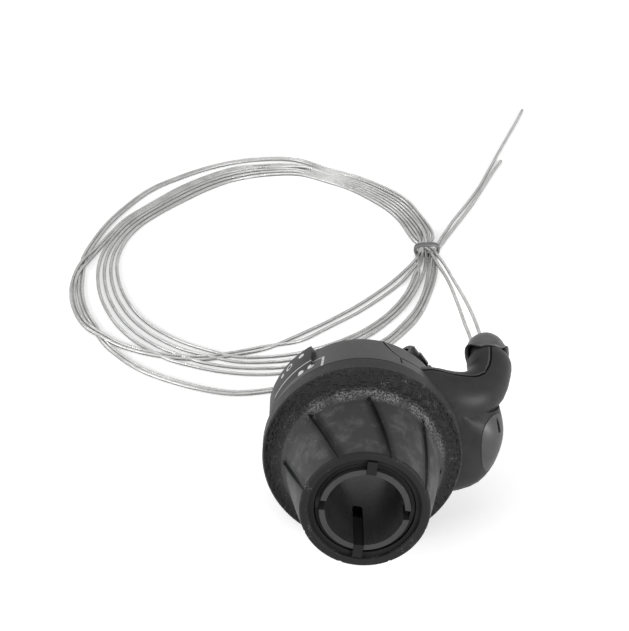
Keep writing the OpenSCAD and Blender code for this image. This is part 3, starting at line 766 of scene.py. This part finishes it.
class ShifterHousingFinish(bpy.types.Operator):
    """Give the housing its moulded grain, shut line, plain printed marks and dust, with painted shade in the
    shut line and a painted highlight beside it
    """
    bl_idname = "shifter.housing_finish"
    bl_label = "Housing"

    def execute(self, context):
        settings = context.scene.shifter_finishes
        housing, printed = tuple(settings.housing), tuple(settings.print_colour)
        finish = Finish("housing plastic")
        place = finish.place()
        along, across, radius, turn = finish.about_axis(place)
        cloud = finish.noise(place, 7.0, 3.0)
        fine = finish.noise(place, 0.3, 2.0, 0.6)
        on_skin = finish.step(radius, 24.5, 25.2)
        not_worn_off = finish.step(finish.noise(place, 0.5, 2.0), 0.3, 0.42)
        marks = self.marks(finish, along, turn) * on_skin * not_worn_off
        seam = self.seam(finish, along, across)
        lip = finish.band(seam, -0.75, -0.3, 0.12)
        # Painted shade in the shut line and in the short cut that runs from its corner to the grip.
        notch = finish.band(turn, 65.5, 66.5, 0.2) * finish.band(along, -12.6, -8.2, 0.2)
        shut = finish.band(seam, -0.3, 0.3, 0.1).math("MAXIMUM", notch)
        colour = finish.mix(finish.step(cloud, 0.3, 0.7), shade(housing, 0.88), shade(housing, 1.14))
        colour = finish.mix(marks, colour, printed)
        # Painted highlight: a faint light line along the shell's lip beside the shut line.
        colour = finish.mix(lip * 0.3, colour, shade(printed, 0.3))
        # Painted shade: the shut line and the cut are near black.
        colour = finish.mix(shut, colour, (0.0008, 0.0008, 0.0008))
        colour = finish.mix(finish.specks(place, 0.3, 8.0, 0.66) * 0.6, colour, DUST)
        wear(["front_shell", "rear_shell"], finish.close({
            "Base Color": colour,
            "Specular IOR Level": 0.1,
            "Roughness": fine * 0.14 + cloud * 0.08 + shut * 0.5 + 0.28,
            "Normal": finish.relief(fine + marks * 0.3 - shut * 6.0, 0.028, settings.rounding),
        }))
        return {"FINISHED"}

    def seam(self, finish, along, across):
        """How far a point lies to the front of the line where the two shells meet, in millimetres."""
        rise, fall = finish.line(along, SEAM_RISE), finish.line(along, SEAM_FALL)
        run = finish.line(across, SEAM_RUN)
        left, right = finish.step(across, 10.4, 10.9), finish.step(across, 36.2, 36.9)
        on_left, middle = (rise - across) * (1 - left), (along - run) * left * (1 - right)
        return on_left + middle + (across - fall) * right + 0.12

    def marks(self, finish, along, turn):
        """Plain marks on the raised pad: a long line, a frame's corner, a few spots and a ring."""
        line = finish.band(along, -14.5, -14.05, 0.12) * finish.band(turn, 114.2, 156.0, 0.4)
        corner = finish.band(along, -14.5, -6.6, 0.12) * finish.band(turn, 113.6, 115.2, 0.25)
        total = line + corner
        for at_along, at_turn, size, hole in SPOTS:
            sideways, lengthways = (turn - at_turn) * PAD_MM_PER_DEGREE, along - at_along
            far = (sideways * sideways + lengthways * lengthways) ** 0.5
            total = total + finish.band(far, hole, size, 0.1)
        return total.math("MINIMUM", 1.0)


class ShifterPlasticFinish(bpy.types.Operator):
    """Give the sleeve, the grip's core and ring, the cover, the drum and the cable stop their finishes"""
    bl_idname = "shifter.plastic_finish"
    bl_label = "Plastic Parts"

    def execute(self, context):
        settings = context.scene.shifter_finishes
        soft, sharp = settings.rounding, settings.rounding * 0.6
        # Nodes, name, colour, roughness, grain, its depth, edge rounding and gloss.
        plastics = (
            (["handlebar_sleeve"], "sleeve plastic", settings.sleeve, 0.3, 0.5, 0.015, sharp, 0.3),
            (["grip_core", "retaining_ring"], "core plastic", settings.core, 0.6, 0.4, 0.03, sharp, 0.12),
            (["side_cover"], "cover plastic", settings.cover, 0.42, 0.28, 0.03, soft, 0.3),
            (["cable_drum"], "drum plastic", settings.drum, 0.5, 0.5, 0.03, sharp, 0.3),
            (["cable_stop"], "stop plastic", settings.core, 0.45, 0.4, 0.03, sharp, 0.3),
        )
        for nodes, *plastic in plastics:
            wear(nodes, moulded(*plastic))
        return {"FINISHED"}


# Distance from the lip and radius: up the inside, then over the bead and along the outside to the tip.
BOOT_PROFILE = [
    (8.6, 0.02), (8.4, 2.4), (7.6, 4.2), (5.6, 4.95), (3.2, 5.1), (1.2, 5.2), (0.3, 5.32), (0.05, 5.6),
    (0.0, 5.98), (0.08, 6.3), (0.35, 6.46), (0.62, 6.36), (0.85, 6.08), (1.05, 6.0), (1.35, 6.14),
    (2.2, 6.2), (3.2, 6.18), (4.4, 6.12), (5.6, 6.0), (6.8, 5.72), (7.9, 5.22), (8.9, 4.45), (9.6, 3.55),
    (10.1, 2.5), (10.4, 1.3), (10.5, 0.02),
]
# Where the lip is pulled back: at a turn, over half a width in degrees, by a depth.
BOOT_SCALLOPS = [(17, 40, 3.6), (157, 52, 4.2), (265, 30, 1.8)]


class ShifterBootMake(bpy.types.Operator):
    """Mould the soft boot whose scalloped lip closes the arm's end round the two cables"""
    bl_idname = "shifter.boot"
    bl_label = "Boot"

    def execute(self, context):
        rim = Vector((30.92, 27.45, 40.96))
        out = Vector((-0.07, 0.9975, 0.008)).normalized()
        right = Vector((out.y, -out.x, 0)).normalized()
        up = right.cross(out)
        sides = 96
        points = []
        for off, radius in BOOT_PROFILE:
            for k in range(sides):
                degrees = 360 * k / sides
                turn = radians(degrees)
                scallop, flare = self.scallops(degrees, off)
                wobble = 1 + 0.008 * sin(turn * 3 + off) + 0.006 * sin(turn * 5 - off * 0.7)
                spoke = right * cos(turn) + up * sin(turn)
                points.append(rim + out * (off + scallop) + spoke * (radius * wobble + flare))
        cap = list(range(sides))
        last_cap = [len(points) - sides + k for k in cap]
        piece = add_piece("boot", points, skin(len(BOOT_PROFILE), sides) + [last_cap, cap[::-1]])
        settings = context.scene.shifter_finishes
        piece.data.materials.append(self.rubber(tuple(settings.boot), rim, out, right, up))
        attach(piece, "housing")
        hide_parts("cable_boot")
        return {"FINISHED"}

    def scallops(self, degrees, off):
        """How far a ring of the boot is pulled back and flared, at a turn and a distance from the lip."""
        back, flare = 0.0, 0.0
        for at, half_width, depth in BOOT_SCALLOPS:
            gone = abs((degrees - at + 180) % 360 - 180) / half_width
            lift = 0.5 * (1 + cos(pi * min(1.0, gone)))
            back += depth * lift
            flare += 0.5 * lift * max(0.0, 1 - off / 4.0) ** 1.5
        return back * max(0.0, 1 - off / 5.6), flare

    def rubber(self, boot, rim, out, right, up):
        """Soft grey rubber, with painted shade in the mouth."""
        finish = Finish("boot rubber")
        place = finish.place()
        cloud, fine = finish.noise(place, 3.0, 3.0), finish.noise(place, 0.35, 2.0)
        off = finish.add("VectorMath", {"operation": "SUBTRACT"}, {0: place, 1: rim})
        radius = (finish.dot(off, right) ** 2.0 + finish.dot(off, up) ** 2.0) ** 0.5
        inside = finish.step(radius, 5.75, 5.5) * finish.step(finish.dot(off, out), 7.0, 5.8)
        colour = finish.mix(finish.step(cloud, 0.3, 0.7), shade(boot, 0.75), shade(boot, 1.3))
        # Painted shade: the rubber in the mouth is near black.
        colour = finish.mix(inside, colour, shade(boot, 0.02))
        return finish.close({
            "Base Color": finish.mix(finish.specks(place, 0.3, 3.0, 0.6) * 0.5, colour, DUST),
            "Specular IOR Level": 0.4,
            "Roughness": cloud * 0.2 + fine * 0.1 + 0.25,
            "Normal": finish.relief(fine + cloud * 2.0, 0.07),
        })


class ShifterMetalFinish(bpy.types.Operator):
    """Give the screws, nut, collar, washers and wound cables their metal"""
    bl_idname = "shifter.metal_finish"
    bl_label = "Metal Parts"

    def execute(self, context):
        plated = steel("plated steel", (0.55, 0.55, 0.54), 0.36)
        blackened = steel("blackened steel", (0.035, 0.035, 0.036), 0.24)
        wound = steel("wound cable", shade(context.scene.shifter_cables.steel, 0.55), 0.34, 0.04)
        wear(["clamp_screw", "clamp_collar"], blackened)
        wear(["clamp_nut", "thrust_washer", "wave_washer"], plated)
        wear(["housing_screws"], steel("screw steel", (0.06, 0.06, 0.06), 0.3))
        for name in "ab":
            wear([f"cable_{name}_inner", "cable_wrap_" + name, "cable_nipple_" + name], wound)
        return {"FINISHED"}


# The stage


BLACK, WHITE = (0.0, 0.0, 0.0), (1.0, 1.0, 1.0)
TABLE_SIZE = 6000.0


class ShifterStageMake(bpy.types.Operator):
    """Set the camera, the pale table and the soft lights"""
    bl_idname = "shifter.stage"
    bl_label = "Stage"

    def execute(self, context):
        settings = context.scene.shifter_stage
        camera = bpy.data.objects.new("camera", bpy.data.cameras.new("camera"))
        context.scene.collection.objects.link(camera)
        camera.location = settings.camera_at
        camera.rotation_euler = (pi / 2 - settings.camera_pitch, 0, 0)
        camera.data.lens = settings.lens
        camera.data.sensor_width = 36.0
        camera.data.clip_start, camera.data.clip_end = 0.01, 50.0
        context.scene.camera = camera
        self.table(settings)
        middle, grip = (-0.02, 0.05, 0.0), (0.0, 0.0, 0.02)
        self.lamp(context, "top light", (-0.12, 0.2, 1.0), middle, 1.1, settings.key_power)
        self.lamp(context, "left light", (-0.95, -0.45, 0.36), grip, 0.7, settings.fill_power)
        self.lamp(context, "right light", (0.75, -0.8, 0.3), grip, 0.6, settings.fill_power * 1.3)
        self.room(context, settings)
        context.scene.view_settings.view_transform = "Standard"
        return {"FINISHED"}

    def table(self, settings):
        """A pale table top that fades into white in the distance."""
        half = TABLE_SIZE / 2
        corners = [(-half, -half, 0), (half, -half, 0), (half, half, 0), (-half, half, 0)]
        top = add_piece("table_top", corners, [(0, 1, 2, 3)])
        finish = Finish("pale table")
        place = finish.place()
        far = finish.step(finish.dot(place, place) ** 0.5, 380.0, 800.0, settings.floor_lift, 1.0)
        colour = tuple(settings.floor_colour)
        top.data.materials.append(finish.close({
            "Base Color": finish.mix(finish.noise(place, 1.5), shade(colour, 0.99), colour),
            "Roughness": 0.9,
            "Specular IOR Level": 0.1,
            "Emission Color": finish.mix(self.seen(finish) * far, BLACK, WHITE),
            "Emission Strength": 1.0,
        }))

    def seen(self, finish):
        """1 for light that goes to the eye, also by a mirror or glass, and 0 for light on the object."""
        camera_ray = finish.add("LightPath", None, None, "Is Camera Ray")
        others = camera_ray.output("Is Glossy Ray") + camera_ray.output("Is Transmission Ray")
        return (camera_ray + others).math("MINIMUM", 1.0)

    def lamp(self, context, name, place, aim, size, power):
        """A round soft light at a place, aimed at another. Both are in metres."""
        data = bpy.data.lights.new(name, "AREA")
        data.shape, data.size, data.energy = "DISK", size, power
        lamp = bpy.data.objects.new(name, data)
        context.scene.collection.objects.link(lamp)
        lamp.location = place
        lamp.rotation_euler = (Vector(aim) - Vector(place)).to_track_quat("-Z", "Y").to_euler()

    def room(self, context, settings):
        """Even light on the object, in front of white."""
        finish = Finish("room", "worlds")
        context.scene.world = finish.holder
        level = finish.mix(self.seen(finish) * (1.0 - settings.sky) + settings.sky, BLACK, WHITE)
        finish.add("OutputWorld", None, {"Surface": finish.add("Background", None, {"Color": level})})


class ShifterPanel(bpy.types.Panel):
    """Lists the shifter's pieces and finishes, with their settings"""
    bl_idname = "VIEW3D_PT_shifter"
    bl_label = "Twist Shifter"
    bl_space_type = "VIEW_3D"
    bl_region_type = "UI"
    bl_category = "Shifter"

    def draw(self, context):
        layout = self.layout
        for title, holder, makers in SECTIONS:
            box = layout.box()
            box.label(text=title)
            for maker in makers:
                box.operator(maker.bl_idname)
            group = getattr(context.scene, holder)
            for setting in group.bl_rna.properties:
                if setting.identifier not in {"rna_type", "name"}:
                    box.prop(group, setting.identifier)


SECTIONS = (
    ("Stage", "shifter_stage", (ShifterStageMake,)),
    ("Cables", "shifter_cables", (ShifterCablesMake, ShifterTieMake)),
    ("Finishes", "shifter_finishes", (ShifterBootMake, ShifterGripFinish, ShifterHousingFinish,
                                      ShifterPlasticFinish, ShifterMetalFinish)),
)
GROUPS = {
    "shifter_stage": ShifterStage,
    "shifter_cables": ShifterCables,
    "shifter_finishes": ShifterFinishes,
}


def classes():
    """All that Blender has to know, the settings first."""
    makers = [maker for section in SECTIONS for maker in section[2]]
    return [*GROUPS.values(), *makers, ShifterPanel]


def register():
    for item in classes():
        bpy.utils.register_class(item)
    for name, group in GROUPS.items():
        setattr(bpy.types.Scene, name, PointerProperty(type=group))


def unregister():
    for name in GROUPS:
        delattr(bpy.types.Scene, name)
    for item in reversed(classes()):
        bpy.utils.unregister_class(item)


def main():
    register()
    bpy.ops.shifter.stage()
    bpy.ops.shifter.cables()
    bpy.ops.shifter.tie()
    bpy.ops.shifter.boot()
    bpy.ops.shifter.grip_finish()
    bpy.ops.shifter.housing_finish()
    bpy.ops.shifter.plastic_finish()
    bpy.ops.shifter.metal_finish()


if __name__ == "__main__":
    main()
